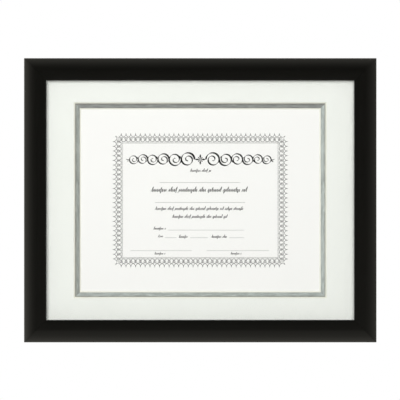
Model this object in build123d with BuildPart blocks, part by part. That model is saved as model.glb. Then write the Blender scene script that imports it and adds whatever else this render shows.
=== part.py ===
from build123d import *

import os
from math import radians, tan

os.makedirs("parts", exist_ok=True)

# A landscape certificate frame: four mitred rails round glass, a double mat and a letter-size
# certificate, closed at the back by a board under eight turn buttons. All sizes are millimetres.
# +X runs along the frame, +Y goes back to the wall and +Z is up. The origin is on the wall, at
# the middle notch of the top rail's hanger, where it sits on its nail.

# The insert is the stock size that the frame takes: glass, mats and boards are cut to it.
insert_width = 355.6
insert_height = 279.4
insert_clearance = 0.8

# The certificate is a letter sheet, and the silver mat covers its edge all round.
document_width = 279.4
document_height = 215.9
document_thickness = 0.25
document_cover = 6.35

# The other layers in the rabbet, from the front.
glass_thickness = 2.0
mat_thickness = 1.4
bond_thickness = 0.1
hinge_tape_thickness = 0.1
filler_thickness = 3.75
backing_thickness = 3.0

# The silver mat shows this much round the certificate, past its bevel.
silver_reveal = 5.2
bevel_angle = 45

# Strips that bond the two mats, as wide as a share of the white mat's border, and paper hinges
# that hang the sheet on the silver mat. A hinge laps both by a share of the room above the sheet.
bond_share = 0.28
hinge_tape_width = 22.0
hinge_tape_lap_share = 0.38
hinge_tape_place_share = 0.26

# The moulding: a flat crest beside the glass, then a shoulder that rolls down to the side.
rail_width = 25.4
lip_cover = 6.35
lip_thickness = 7.05
shoulder_width = 14.9
shoulder_drop = 7.5
sight_ease = 0.7
side_ease = 2.0
back_ease = 0.5

# V-nails across each mitre, with their places as shares of the land behind the rabbet.
v_nail_leg = 6.5
v_nail_thickness = 0.5
v_nail_height = 10.0
v_nail_shares = (0.26, 0.62)

# Turn buttons. Their places along a rail are a share of the insert's size.
button_eye_radius = 4.6
button_tip_radius = 2.5
button_overlap = 5.6
button_thickness = 0.9
button_kick = 0.8
button_kick_length = 3.2
button_gap = 0.1
button_bore_clearance = 0.08
button_share = 0.25

# Pan-head screws with a cross recess, the pivots of the turn buttons.
screw_radius = 1.45
screw_length = 9.5
screw_tip_length = 2.4
screw_head_radius = 2.9
screw_head_rim = 0.7
screw_head_dome = 0.95
screw_head_gap = 0.05
recess_length = 3.2
recess_slot = 0.75
recess_depth = 0.9

# Sawtooth hangers: a strip nailed down at both ends, with a raised toothed bridge between.
hanger_tab = 8.1
hanger_width = 9.0
hanger_thickness = 0.8
hanger_corner = 3.2
hanger_bridge = 22.0
hanger_step = 2.4
tooth_pitch = 2.2
tooth_depth = 1.5
nail_radius = 0.65
nail_length = 8.0
nail_tip_length = 1.5
nail_head_radius = 1.5
nail_head_height = 0.45

# Soft pads that keep the lower corners off the wall.
bumper_radius = 4.75
bumper_ease = 1.1
bumper_inset = 34.0
wall_spare = 0.3

# Sizes that follow. The rabbet is as deep as what it holds, and the lip stands in front of it.
rabbet_depth = (
    glass_thickness
    + 2 * mat_thickness
    + bond_thickness
    + document_thickness
    + hinge_tape_thickness
    + filler_thickness
    + backing_thickness
)
rail_depth = rabbet_depth + lip_thickness
side_height = rail_depth - shoulder_drop
land_width = rail_width - lip_cover - insert_clearance
sight_width = insert_width - 2 * lip_cover
sight_height = insert_height - 2 * lip_cover
frame_width = sight_width + 2 * rail_width
frame_height = sight_height + 2 * rail_width

screw_head_seat = button_gap + button_thickness + screw_head_gap
screw_head_top = screw_head_seat + screw_head_rim + screw_head_dome
bumper_height = screw_head_top + wall_spare
hanger_rise = bumper_height - hanger_thickness
hanger_length = hanger_bridge + 2 * (hanger_step + hanger_tab)

# Heights and depths in the frame's own place. The hangers and bumpers meet the wall at y = 0.
back_y = -bumper_height
hook_to_hanger_middle = hanger_width / 2 - tooth_depth
frame_top_z = hook_to_hanger_middle + land_width / 2
frame_middle_z = frame_top_z - frame_height / 2

backing_front_y = back_y - backing_thickness
filler_front_y = backing_front_y - filler_thickness
sheet_back_y = filler_front_y - hinge_tape_thickness
inner_mat_back_y = sheet_back_y - document_thickness
inner_mat_front_y = inner_mat_back_y - mat_thickness
top_mat_back_y = inner_mat_front_y - bond_thickness
top_mat_front_y = top_mat_back_y - mat_thickness

# Mat windows. Each is larger at its front face by the bevel's run.
bevel_run = mat_thickness * tan(radians(bevel_angle))
inner_window_width = document_width - 2 * document_cover
inner_window_height = document_height - 2 * document_cover
inner_face_width = inner_window_width + 2 * bevel_run
inner_face_height = inner_window_height + 2 * bevel_run
outer_window_width = inner_face_width + 2 * silver_reveal
outer_window_height = inner_face_height + 2 * silver_reveal

across = Vector(1, 0, 0)
to_wall = Vector(0, 1, 0)
up = Vector(0, 0, 1)
frame_middle = Vector(0, back_y, frame_middle_z)


def layer_plane(y):
    """Plane at depth y in the middle of the frame, facing the front, with x across and y up."""
    return Plane(origin=(0, y, frame_middle_z), x_dir=across, z_dir=-to_wall)


def half_size(outward):
    """Half the frame's size in a side's outward direction."""
    return abs(outward.X) * frame_width / 2 + abs(outward.Z) * frame_height / 2


def along(outward):
    """Direction in which the rail on a side runs."""
    return Vector(abs(outward.Z), 0, abs(outward.X))


def land_plane(outward, distance):
    """Plane on the middle of a rail's back, distance from its middle.

    Its x points to the middle of the frame and its z to the wall.
    """
    from_middle = half_size(outward) - land_width / 2
    origin = frame_middle + outward * from_middle + along(outward) * distance
    return Plane(origin=origin, x_dir=-outward, z_dir=to_wall)


def axis_plane(place):
    """Plane through a fastener's axis: x is its radius, y runs out of the wood to the wall."""
    return Plane(origin=place.origin, x_dir=place.x_dir, z_dir=place.x_dir.cross(place.z_dir))


# Turn button screws: tip, shank and seat first, then a domed head with its cross recess.
button_x = insert_width * button_share
button_z = insert_height * button_share
button_places = {
    "turn_button_top_left": land_plane(up, -button_x),
    "turn_button_top_right": land_plane(up, button_x),
    "turn_button_bottom_left": land_plane(-up, -button_x),
    "turn_button_bottom_right": land_plane(-up, button_x),
    "turn_button_left_upper": land_plane(-across, button_z),
    "turn_button_left_lower": land_plane(-across, -button_z),
    "turn_button_right_upper": land_plane(across, button_z),
    "turn_button_right_lower": land_plane(across, -button_z),
}

with BuildPart() as turn_button_screws:
    for place in button_places.values():
        with BuildSketch(axis_plane(place)):
            with BuildLine():
                Polyline(
                    (0, screw_head_top),
                    (0, -screw_length),
                    (screw_radius, screw_tip_length - screw_length),
                    (screw_radius, screw_head_seat),
                    (screw_head_radius, screw_head_seat),
                    (screw_head_radius, screw_head_seat + screw_head_rim),
                )
                TangentArc(
                    (0, screw_head_top),
                    (screw_head_radius, screw_head_seat + screw_head_rim),
                    tangent=(1, 0),
                )
            make_face()
        revolve(axis=Axis(place.origin, place.z_dir))
    for place in button_places.values():
        with BuildSketch(place.offset(screw_head_top)):
            Rectangle(recess_length, recess_slot)
            Rectangle(recess_slot, recess_length)
        extrude(amount=-recess_depth, mode=Mode.SUBTRACT)

turn_button_screws.part.label = "turn_button_screws"
export_step(turn_button_screws.part, "parts/turn_button_screws.step")


# Turn buttons: a bent strip cut to a teardrop, lying over the rail and the backing board.
button_reach = land_width / 2 + insert_clearance + button_overlap
button_bend = button_reach - button_kick_length
button_back = button_gap + button_thickness

for name, place in button_places.items():
    with BuildPart() as turn_button:
        with BuildSketch(axis_plane(place)):
            with BuildLine():
                Polyline(
                    (-button_eye_radius, button_gap),
                    (button_bend, button_gap),
                    (button_reach, button_gap + button_kick),
                    (button_reach, button_back + button_kick),
                    (button_bend, button_back),
                    (-button_eye_radius, button_back),
                    close=True,
                )
            make_face()
        extrude(amount=button_eye_radius, both=True)
        with BuildSketch(place):
            Circle(button_eye_radius)
            with Locations((button_reach - button_tip_radius, 0)):
                Circle(button_tip_radius)
            make_hull()
        extrude(amount=button_back + button_kick, mode=Mode.INTERSECT)
        with BuildSketch(place):
            Circle(screw_radius + button_bore_clearance)
        extrude(amount=button_back + button_kick, mode=Mode.SUBTRACT)

    turn_button.part.label = name
    export_step(turn_button.part, f"parts/{name}.step")


# Sawtooth hangers, one for each way that the frame can hang, with their nails.
hanger_places = {
    "hanger_landscape": land_plane(up, 0),
    "hanger_portrait": land_plane(-across, 0),
}
half_bridge = hanger_bridge / 2
bridge_foot = half_bridge + hanger_step
tooth_count = 2 * int(hanger_bridge / (2 * tooth_pitch)) - 1
nail_distance = bridge_foot + hanger_tab / 2

for name, place in hanger_places.items():
    strip_plane = Plane(origin=place.origin, x_dir=place.y_dir, z_dir=place.x_dir)
    with BuildPart() as hanger:
        with BuildSketch(strip_plane):
            with BuildLine():
                Polyline(
                    (0, hanger_rise),
                    (half_bridge, hanger_rise),
                    (bridge_foot, 0),
                    (hanger_length / 2, 0),
                    (hanger_length / 2, hanger_thickness),
                    (bridge_foot, hanger_thickness),
                    (half_bridge, bumper_height),
                    (0, bumper_height),
                    close=True,
                )
            make_face()
            mirror(about=Plane.YZ)
        extrude(amount=hanger_width / 2, both=True)
        with BuildSketch(place):
            RectangleRounded(hanger_width, hanger_length, hanger_corner)
        extrude(amount=bumper_height, mode=Mode.INTERSECT)
        with BuildSketch(place):
            with Locations((hanger_width / 2, 0)):
                with GridLocations(tooth_pitch, tooth_pitch, 1, tooth_count):
                    Polygon(
                        (0, -tooth_pitch / 2),
                        (0, tooth_pitch / 2),
                        (-tooth_depth, 0),
                        align=None,
                    )
        extrude(amount=bumper_height, mode=Mode.SUBTRACT)
        with BuildSketch(place):
            with Locations((0, -nail_distance), (0, nail_distance)):
                Circle(nail_radius)
        extrude(amount=hanger_thickness, mode=Mode.SUBTRACT)

    hanger.part.label = name
    export_step(hanger.part, f"parts/{name}.step")

with BuildPart() as hanger_nails:
    for place in hanger_places.values():
        for distance in (-nail_distance, nail_distance):
            nail_plane = Plane(
                origin=place.origin + place.y_dir * distance, x_dir=place.x_dir, z_dir=place.z_dir
            )
            with BuildSketch(axis_plane(nail_plane)):
                with BuildLine():
                    Polyline(
                        (0, -nail_length),
                        (nail_radius, nail_tip_length - nail_length),
                        (nail_radius, hanger_thickness),
                        (nail_head_radius, hanger_thickness),
                        (nail_head_radius, hanger_thickness + nail_head_height),
                        (0, hanger_thickness + nail_head_height),
                        close=True,
                    )
                make_face()
            revolve(axis=Axis(nail_plane.origin, nail_plane.z_dir))

hanger_nails.part.label = "hanger_nails"
export_step(hanger_nails.part, "parts/hanger_nails.step")


# V-nails: two folded strips across each mitre, flush with the back.
with BuildPart() as corner_v_nails:
    with BuildSketch(layer_plane(back_y)):
        for share in v_nail_shares:
            inset = land_width * share
            with Locations((frame_width / 2 - inset, frame_height / 2 - inset)):
                Polygon(
                    (0, 0),
                    (-v_nail_leg, 0),
                    (-v_nail_leg, -v_nail_thickness),
                    (-v_nail_thickness, -v_nail_thickness),
                    (-v_nail_thickness, -v_nail_leg),
                    (0, -v_nail_leg),
                    align=None,
                )
    extrude(amount=v_nail_height)
    mirror(about=Plane.YZ)
    mirror(about=Plane(origin=frame_middle, z_dir=up))

corner_v_nails.part.label = "corner_v_nails"
export_step(corner_v_nails.part, "parts/corner_v_nails.step")


# Rails: the moulding's section run along each side, mitred, and cut for what is driven into it.
rail_sides = {
    "rail_top": up,
    "rail_bottom": -up,
    "rail_left": -across,
    "rail_right": across,
}

for name, outward in rail_sides.items():
    run = along(outward)
    half_length = half_size(run)
    edge_middle = frame_middle + outward * half_size(outward)
    section_plane = Plane(origin=edge_middle, x_dir=-outward, z_dir=outward.cross(to_wall))
    with BuildPart() as rail:
        with BuildSketch(section_plane) as section:
            with BuildLine():
                Line((0, 0), (0, side_height))
                TangentArc((shoulder_width, rail_depth), (0, side_height), tangent=(-1, 0))
                Polyline(
                    (shoulder_width, rail_depth),
                    (rail_width, rail_depth),
                    (rail_width, rabbet_depth),
                    (land_width, rabbet_depth),
                    (land_width, 0),
                    (0, 0),
                )
            make_face()
            sight_corners = section.vertices().group_by(Axis.X)[-1]
            side_corners = section.vertices().group_by(Axis.X)[0]
            fillet(sight_corners.sort_by(Axis.Y)[-1], sight_ease)
            fillet(side_corners.sort_by(Axis.Y)[-1], side_ease)
            fillet(side_corners.sort_by(Axis.Y)[0], back_ease)
        extrude(amount=half_length, both=True)
        for end in (-1, 1):
            corner = edge_middle + run * (end * half_length)
            split(bisect_by=Plane(origin=corner, z_dir=outward - run * end), keep=Keep.TOP)
        add(corner_v_nails.part, mode=Mode.SUBTRACT)
        add(turn_button_screws.part, mode=Mode.SUBTRACT)
        add(hanger_nails.part, mode=Mode.SUBTRACT)

    rail.part.label = name
    export_step(rail.part, f"parts/{name}.step")


# Glass
with BuildPart() as glass:
    with BuildSketch(layer_plane(top_mat_front_y)):
        Rectangle(insert_width, insert_height)
    extrude(amount=glass_thickness)

glass.part.label = "glass"
export_step(glass.part, "parts/glass.step")


# The white mat, with a bevelled window that is widest at its face.
with BuildPart() as top_mat:
    with BuildSketch(layer_plane(top_mat_back_y)):
        Rectangle(insert_width, insert_height)
    extrude(amount=mat_thickness)
    with BuildSketch(layer_plane(top_mat_front_y)):
        Rectangle(outer_window_width + 2 * bevel_run, outer_window_height + 2 * bevel_run)
    extrude(amount=-mat_thickness, taper=bevel_angle, mode=Mode.SUBTRACT)

top_mat.part.label = "top_mat"
export_step(top_mat.part, "parts/top_mat.step")


# Double-sided strips between the mats, along the middle of the white mat's border.
side_border = (insert_width - outer_window_width) / 2
end_border = (insert_height - outer_window_height) / 2
strip_pitch_x = outer_window_width + side_border
strip_pitch_z = outer_window_height + end_border

with BuildPart() as mat_bond_tape:
    with BuildSketch(layer_plane(inner_mat_front_y)):
        with GridLocations(strip_pitch_x, strip_pitch_z, 2, 1):
            Rectangle(side_border * bond_share, outer_window_height)
        with GridLocations(strip_pitch_x, strip_pitch_z, 1, 2):
            Rectangle(outer_window_width, end_border * bond_share)
    extrude(amount=bond_thickness)

mat_bond_tape.part.label = "mat_bond_tape"
export_step(mat_bond_tape.part, "parts/mat_bond_tape.step")


# The silver mat, which shows as a narrow line round the certificate.
with BuildPart() as inner_mat:
    with BuildSketch(layer_plane(inner_mat_back_y)):
        Rectangle(insert_width, insert_height)
    extrude(amount=mat_thickness)
    with BuildSketch(layer_plane(inner_mat_front_y)):
        Rectangle(inner_face_width, inner_face_height)
    extrude(amount=-mat_thickness, taper=bevel_angle, mode=Mode.SUBTRACT)

inner_mat.part.label = "inner_mat"
export_step(inner_mat.part, "parts/inner_mat.step")


# Certificate sheet
with BuildPart() as certificate:
    with BuildSketch(layer_plane(sheet_back_y)):
        Rectangle(document_width, document_height)
    extrude(amount=document_thickness)

certificate.part.label = "certificate"
export_step(certificate.part, "parts/certificate.step")


# Paper hinges: each laps the sheet's top edge and steps down onto the back of the silver mat.
sheet_top_z = frame_middle_z + document_height / 2
hinge_tape_x = document_width * hinge_tape_place_share
hinge_tape_lap = (insert_height - document_height) / 2 * hinge_tape_lap_share
hinge_tape_back_y = sheet_back_y + hinge_tape_thickness
step_back_y = inner_mat_back_y + hinge_tape_thickness

with BuildPart() as certificate_tape:
    for middle_x in (-hinge_tape_x, hinge_tape_x):
        with BuildSketch(Plane(origin=(middle_x, 0, 0), x_dir=to_wall, z_dir=across)):
            Polygon(
                (sheet_back_y, sheet_top_z - hinge_tape_lap),
                (hinge_tape_back_y, sheet_top_z - hinge_tape_lap),
                (hinge_tape_back_y, sheet_top_z + hinge_tape_thickness),
                (step_back_y, sheet_top_z + hinge_tape_thickness),
                (step_back_y, sheet_top_z + hinge_tape_lap),
                (inner_mat_back_y, sheet_top_z + hinge_tape_lap),
                (inner_mat_back_y, sheet_top_z),
                (sheet_back_y, sheet_top_z),
                align=None,
            )
        extrude(amount=hinge_tape_width / 2, both=True)

certificate_tape.part.label = "certificate_tape"
export_step(certificate_tape.part, "parts/certificate_tape.step")


# Filler board and backing board
with BuildPart() as filler_board:
    with BuildSketch(layer_plane(backing_front_y)):
        Rectangle(insert_width, insert_height)
    extrude(amount=filler_thickness)

filler_board.part.label = "filler_board"
export_step(filler_board.part, "parts/filler_board.step")

with BuildPart() as backing_board:
    with BuildSketch(layer_plane(back_y)):
        Rectangle(insert_width, insert_height)
    extrude(amount=backing_thickness)

backing_board.part.label = "backing_board"
export_step(backing_board.part, "parts/backing_board.step")


# Wall bumpers: low round pads on the back of the bottom rail, flat where they meet the wall.
bumper_x = frame_width / 2 - bumper_inset

with BuildPart() as wall_bumpers:
    for distance in (-bumper_x, bumper_x):
        with BuildSketch(land_plane(-up, distance)):
            Circle(bumper_radius)
        extrude(amount=bumper_height)
    fillet(wall_bumpers.faces().group_by(Axis.Y)[-1].edges(), bumper_ease)

wall_bumpers.part.label = "wall_bumpers"
export_step(wall_bumpers.part, "parts/wall_bumpers.step")
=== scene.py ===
from math import atan2, cos, pi, radians, sin, sqrt, tau

import bpy
from bpy.props import FloatProperty, FloatVectorProperty, IntProperty, PointerProperty
from mathutils import Matrix, Vector


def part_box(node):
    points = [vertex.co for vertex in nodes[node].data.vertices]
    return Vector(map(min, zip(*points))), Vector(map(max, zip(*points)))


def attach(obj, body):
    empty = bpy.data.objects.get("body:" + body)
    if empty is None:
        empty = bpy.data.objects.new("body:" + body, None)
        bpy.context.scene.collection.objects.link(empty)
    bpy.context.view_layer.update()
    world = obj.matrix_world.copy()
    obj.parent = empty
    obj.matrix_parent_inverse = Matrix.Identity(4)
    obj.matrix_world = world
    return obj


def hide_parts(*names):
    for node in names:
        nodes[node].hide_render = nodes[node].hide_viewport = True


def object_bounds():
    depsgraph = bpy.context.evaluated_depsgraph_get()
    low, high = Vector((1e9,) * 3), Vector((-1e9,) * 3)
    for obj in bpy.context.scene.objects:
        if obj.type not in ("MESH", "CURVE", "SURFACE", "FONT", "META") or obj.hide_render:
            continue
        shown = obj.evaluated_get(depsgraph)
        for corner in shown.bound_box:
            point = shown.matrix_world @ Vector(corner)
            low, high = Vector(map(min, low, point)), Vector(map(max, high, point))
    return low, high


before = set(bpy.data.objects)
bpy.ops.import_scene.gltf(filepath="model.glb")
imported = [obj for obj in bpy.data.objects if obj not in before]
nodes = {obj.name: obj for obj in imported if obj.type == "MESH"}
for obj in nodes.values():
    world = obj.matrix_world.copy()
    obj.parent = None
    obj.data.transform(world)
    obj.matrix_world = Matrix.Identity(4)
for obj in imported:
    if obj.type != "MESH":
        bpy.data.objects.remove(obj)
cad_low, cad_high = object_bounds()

bl_info = {
    "name": "Certificate Frame",
    "version": (1, 0, 0),
    "blender": (4, 5, 0),
    "location": "View3D > Sidebar > Frame",
    "description": "Finishes a wall-hung certificate frame, from its moulding to its back",
    "category": "Object",
}

mm = 0.001
frame_body = "frame"

# Directions in the room: the wall is behind the frame, and the sheet is read from the front.
across = Vector((1, 0, 0))
up = Vector((0, 0, 1))
to_front = Vector((0, -1, 0))

# Boxes that the rest is placed by.
rail_low, rail_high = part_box("rail_left")
glass_low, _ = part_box("glass")
sheet_low, sheet_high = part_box("certificate")
middle = (cad_low + cad_high) / 2
back_y = rail_high.y
rail_width = rail_high.x - rail_low.x
rail_depth = rail_high.y - rail_low.y


class MouldingSettings(bpy.types.PropertyGroup):
    shoulder_width: FloatProperty(
        name="Shoulder Width", description="Run of the rounded shoulder from the side to the crest",
        default=14.9 * mm, unit="LENGTH")
    shoulder_drop: FloatProperty(
        name="Shoulder Drop", description="Fall of the shoulder from the crest to the side",
        default=7.5 * mm, unit="LENGTH")
    sight_ease: FloatProperty(
        name="Sight Ease", description="Rounding of the edge beside the glass",
        default=0.7 * mm, unit="LENGTH")
    side_ease: FloatProperty(
        name="Side Ease", description="Rounding between the shoulder and the side",
        default=2 * mm, unit="LENGTH")
    back_ease: FloatProperty(
        name="Back Ease", description="Rounding of the back's outer edge",
        default=0.5 * mm, unit="LENGTH")
    insert_clearance: FloatProperty(
        name="Insert Clearance", description="Gap between the rabbet and the glass",
        default=0.8 * mm, unit="LENGTH")
    mitre_ease: FloatProperty(
        name="Mitre Ease", description="Depth of the hairline groove where two rails meet",
        default=0.22 * mm, unit="LENGTH")
    wrap_lap: FloatProperty(
        name="Wrap Lap", description="Width of the black finish turned onto the back",
        default=3.2 * mm, unit="LENGTH")
    back_recess: FloatProperty(
        name="Back Recess", description="Depth of the wood below the driven steel at the back",
        default=0.04 * mm, unit="LENGTH")
    rings: IntProperty(name="Rings", description="Cross sections along a rail", default=25, min=5)
    colour: FloatVectorProperty(
        name="Black Finish", description="Satin black of the moulding",
        default=(0.0031, 0.0030, 0.0024), subtype="COLOR")
    roughness: FloatProperty(
        name="Roughness", description="Roughness of the satin black", default=0.3)
    bare_colour: FloatVectorProperty(
        name="Bare Board", description="Pressed wood fibre that the black finish leaves bare",
        default=(0.40, 0.27, 0.155), subtype="COLOR")


class MatSettings(bpy.types.PropertyGroup):
    white: FloatVectorProperty(
        name="White Board", description="Face of the outer mat",
        default=(0.885, 0.897, 0.855), subtype="COLOR")
    silver: FloatVectorProperty(
        name="Silver Board", description="Face of the inner mat",
        default=(0.58, 0.63, 0.615), subtype="COLOR")
    # Painted shade: the colour that darkens the silver strip towards its edges.
    silver_edge_shade: FloatVectorProperty(
        name="Silver Edge", description="Duller tone of the silver strip's edges",
        default=(0.42, 0.415, 0.375), subtype="COLOR")
    window_inset: FloatProperty(
        name="Window Inset", description="From the sheet's edge in to the silver mat's window",
        default=4.95 * mm, unit="LENGTH")
    silver_reveal: FloatProperty(
        name="Silver Reveal", description="Width of the silver strip that shows",
        default=5.2 * mm, unit="LENGTH")
    # Painted reflection: these factors make each strip's silver lighter or darker for the light
    # that it would mirror, the upper strip darkest and the right one lightest.
    lower_painted_reflection: FloatVectorProperty(
        name="Lower Tint", description="Times the silver of the lower strip",
        default=(1, 1, 1), subtype="COLOR")
    upper_painted_reflection: FloatVectorProperty(
        name="Upper Tint", description="Times the silver of the upper strip",
        default=(0.66, 0.63, 0.63), subtype="COLOR")
    left_painted_reflection: FloatVectorProperty(
        name="Left Tint", description="Times the silver of the left strip",
        default=(0.81, 0.795, 0.78), subtype="COLOR")
    right_painted_reflection: FloatVectorProperty(
        name="Right Tint", description="Times the silver of the right strip",
        default=(1.12, 1.12, 1.12), subtype="COLOR")
    core: FloatVectorProperty(
        name="Core", description="Cream core that shows on a cut bevel",
        default=(0.88, 0.875, 0.79), subtype="COLOR")
    tape: FloatVectorProperty(
        name="Tape", description="Gummed paper of the hinges and the strips between the mats",
        default=(0.78, 0.74, 0.63), subtype="COLOR")


class SheetSettings(bpy.types.PropertyGroup):
    paper: FloatVectorProperty(
        name="Paper", description="Smooth certificate stock",
        default=(0.945, 0.932, 0.915), subtype="COLOR")
    ink: FloatVectorProperty(
        name="Ink", description="Printing ink", default=(0.012, 0.012, 0.012), subtype="COLOR")
    ink_thickness: FloatProperty(
        name="Ink Thickness", description="Height of the print above the paper",
        default=0.03 * mm, unit="LENGTH")
    border_width: FloatProperty(
        name="Border Width", description="Printed border, from tip to tip across the sheet",
        default=196.6 * mm, unit="LENGTH")
    border_height: FloatProperty(
        name="Border Height", description="Printed border, from tip to tip up the sheet",
        default=150.7 * mm, unit="LENGTH")
    columns: IntProperty(
        name="Columns", description="Spears along the top and the bottom", default=34, min=2)
    rows: IntProperty(name="Rows", description="Spears along each side", default=26, min=2)
    pitch: FloatProperty(
        name="Pitch", description="Distance between two spears along the top",
        default=5.36 * mm, unit="LENGTH")
    row_pitch: FloatProperty(
        name="Row Pitch", description="Distance between two spears along a side",
        default=5.25 * mm, unit="LENGTH")
    nib: FloatProperty(
        name="Nib", description="Width of the broad pen that draws the ornament",
        default=2.3 * mm, unit="LENGTH")
    nib_angle: FloatProperty(
        name="Nib Angle", description="Slope at which the broad pen is held",
        default=radians(38), unit="ROTATION")
    hairline_share: FloatProperty(
        name="Hairline Share", description="Thinnest stroke, as a share of the nib", default=0.2)
    rule_width: FloatProperty(
        name="Rule Width", description="Thickness of a ruled line",
        default=0.24 * mm, unit="LENGTH")


class BackSettings(bpy.types.PropertyGroup):
    hardboard: FloatVectorProperty(
        name="Hardboard", description="Backing board", default=(0.20, 0.115, 0.06), subtype="COLOR")
    filler: FloatVectorProperty(
        name="Filler Card", description="Board behind the sheet",
        default=(0.42, 0.30, 0.18), subtype="COLOR")
    steel: FloatVectorProperty(
        name="Zinc Plate", description="Plated steel of the hardware",
        default=(0.58, 0.59, 0.605), subtype="COLOR")
    rubber: FloatVectorProperty(
        name="Bumper", description="Soft pads at the lower corners",
        default=(0.035, 0.035, 0.037), subtype="COLOR")


class StageSettings(bpy.types.PropertyGroup):
    view_distance: FloatProperty(
        name="View Distance", description="Distance from the camera to the glass",
        default=2.2, unit="LENGTH")
    view_width: FloatProperty(
        name="View Width", description="Width of the picture at the glass",
        default=446.6 * mm, unit="LENGTH")
    view_offset: FloatVectorProperty(
        name="View Offset", description="Place of the camera from the frame's middle",
        default=(-0.3 * mm, 0, 0.3 * mm), subtype="TRANSLATION")
    floor_drop: FloatProperty(
        name="Floor Drop", description="Height of the frame's middle above the floor",
        default=1.65, unit="LENGTH")
    floor_size: FloatProperty(
        name="Floor Size", description="Side of the floor", default=40, unit="LENGTH")
    ambient: FloatProperty(name="Ambient", description="Even light from all round", default=0.27)


class FrameSettings(bpy.types.PropertyGroup):
    moulding: PointerProperty(type=MouldingSettings, name="Moulding")
    mats: PointerProperty(type=MatSettings, name="Mats")
    sheet: PointerProperty(type=SheetSettings, name="Sheet")
    back: PointerProperty(type=BackSettings, name="Back")
    stage: PointerProperty(type=StageSettings, name="Stage")


# Values in node trees


def reckoned(operation):
    """A method that gives the output of a Math node."""
    return lambda *values: math(operation, *values)


class Value:
    """A node's output. Arithmetic with it adds Math nodes to its tree."""

    def __init__(self, socket):
        self.socket = socket
        self.tree = socket.id_data

    def __rsub__(self, other):
        return math("SUBTRACT", other, self)

    __add__ = reckoned("ADD")
    __sub__ = reckoned("SUBTRACT")
    __mul__ = reckoned("MULTIPLY")
    __truediv__ = reckoned("DIVIDE")
    __gt__ = reckoned("GREATER_THAN")
    __lt__ = reckoned("LESS_THAN")
    __abs__ = reckoned("ABSOLUTE")


def link(value, entry):
    """Lead a value to a node's input."""
    value.tree.links.new(value.socket, entry)


def add(tree, kind, inputs=None, **settings):
    """Add a node to a tree. A Value among its inputs is linked, and any other input is set."""
    made = tree.nodes.new(kind)
    for name, setting in settings.items():
        setattr(made, name, setting)
    for key, value in (inputs or {}).items():
        if isinstance(value, Value):
            link(value, made.inputs[key])
        else:
            made.inputs[key].default_value = value
    return made


def result(tree, kind, inputs=None, output=0, **settings):
    """Add a node and give one of its outputs."""
    return Value(add(tree, kind, inputs, **settings).outputs[output])


def results(tree, kind):
    """Add a node and give its outputs by name."""
    return {socket.name: Value(socket) for socket in add(tree, kind).outputs}


def tree_of(values):
    """The tree of the first Value among some numbers."""
    return next(value.tree for value in values if isinstance(value, Value))


def math(operation, *values):
    """Output of a Math node."""
    inputs = dict(enumerate(values))
    return result(tree_of(values), "ShaderNodeMath", inputs, operation=operation)


def vector_math(operation, *values, output="Vector"):
    """Output of a Vector Math node."""
    inputs = dict(enumerate(values))
    return result(tree_of(values), "ShaderNodeVectorMath", inputs, output, operation=operation)


def scaled(vector, factor):
    """A vector times a number."""
    inputs = {"Vector": vector, "Scale": factor}
    return result(vector.tree, "ShaderNodeVectorMath", inputs, operation="SCALE")


def separate(vector):
    """The three parts of a vector."""
    made = add(vector.tree, "ShaderNodeSeparateXYZ", {"Vector": vector})
    return [Value(socket) for socket in made.outputs]


def combine(x, y, z=0.0):
    """A vector from its three parts."""
    return result(tree_of((x, y, z)), "ShaderNodeCombineXYZ", {"X": x, "Y": y, "Z": z})


def blend(share, first, second):
    """Colour between two others."""
    return result(share.tree, "ShaderNodeMix", {0: share, 6: first, 7: second}, 2, data_type="RGBA")


def choose(pick, first, second):
    """The first value where pick is 0, and the second where it is 1."""
    return result(pick.tree, "ShaderNodeMix", {0: pick, 2: first, 3: second})


def opaque(colour, factor=1):
    """A colour with its alpha, lighter or darker by a factor."""
    return (*(channel * factor for channel in colour), 1)


def shades(share, colour, low, high):
    """Colour between two shades of another, each given as a factor."""
    return blend(share, opaque(colour, low), opaque(colour, high))


def chosen_by_sign(value, below, above):
    """One colour where a value is below 0, and another above it."""
    return blend(value > 0.0, opaque(below), opaque(above))


def spread(value, low, high):
    """A value from 0 to 1 brought between two others."""
    return result(value.tree, "ShaderNodeMapRange", {"Value": value, "To Min": low, "To Max": high})


def fade(value, start, end, low, high):
    """Goes softly from low to high as a value goes from start to end."""
    inputs = {"Value": value, "From Min": start, "From Max": end, "To Min": low, "To Max": high}
    return result(value.tree, "ShaderNodeMapRange", inputs, interpolation_type="SMOOTHSTEP")


def noise(place, stretch=(1, 1, 1), scale=1, detail=3, roughness=0.5):
    """Noise value, with its pattern stretched along the axes."""
    mapped = result(place.tree, "ShaderNodeMapping", {"Vector": place, "Scale": stretch})
    inputs = {"Vector": mapped, "Scale": scale, "Detail": detail, "Roughness": roughness}
    return result(place.tree, "ShaderNodeTexNoise", inputs)


def bump(height, distance, strength):
    """Normal from a height pattern, with its depth in metres."""
    inputs = {"Height": height, "Distance": distance, "Strength": strength}
    return result(height.tree, "ShaderNodeBump", inputs)


# Materials. A recipe gives the values of a Principled shader.


def new_material(name, shader_in):
    """A material with the shader that a function makes in its tree."""
    material = bpy.data.materials.new(name)
    material.use_nodes = True
    tree = material.node_tree
    tree.nodes.clear()
    add(tree, "ShaderNodeOutputMaterial", {"Surface": shader_in(tree)})
    return material


def surface(name, recipe, *settings):
    """A material whose Principled shader follows a recipe."""
    def principled(tree):
        values = recipe(results(tree, "ShaderNodeTexCoord"), *settings)
        return result(tree, "ShaderNodeBsdfPrincipled", values)

    return new_material(name, principled)


def black_finish(coordinates, settings):
    """Satin black over a moulding, with faint streaks along its length."""
    along = coordinates["UV"]
    streaks = noise(along, (14, 1100, 1), detail=4)
    blotches = noise(along, (60, 160, 1))
    pores = noise(along, (500, 4200, 1), detail=2)
    worn = streaks * 0.65 + blotches * 0.35
    return {
        "Base Color": shades(worn, settings.colour, 0.72, 1.3),
        "Roughness": spread(worn, settings.roughness - 0.07, settings.roughness + 0.09),
        "Normal": bump(streaks * 0.6 + pores * 0.4, 0.02 * mm, 0.5),
    }


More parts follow.
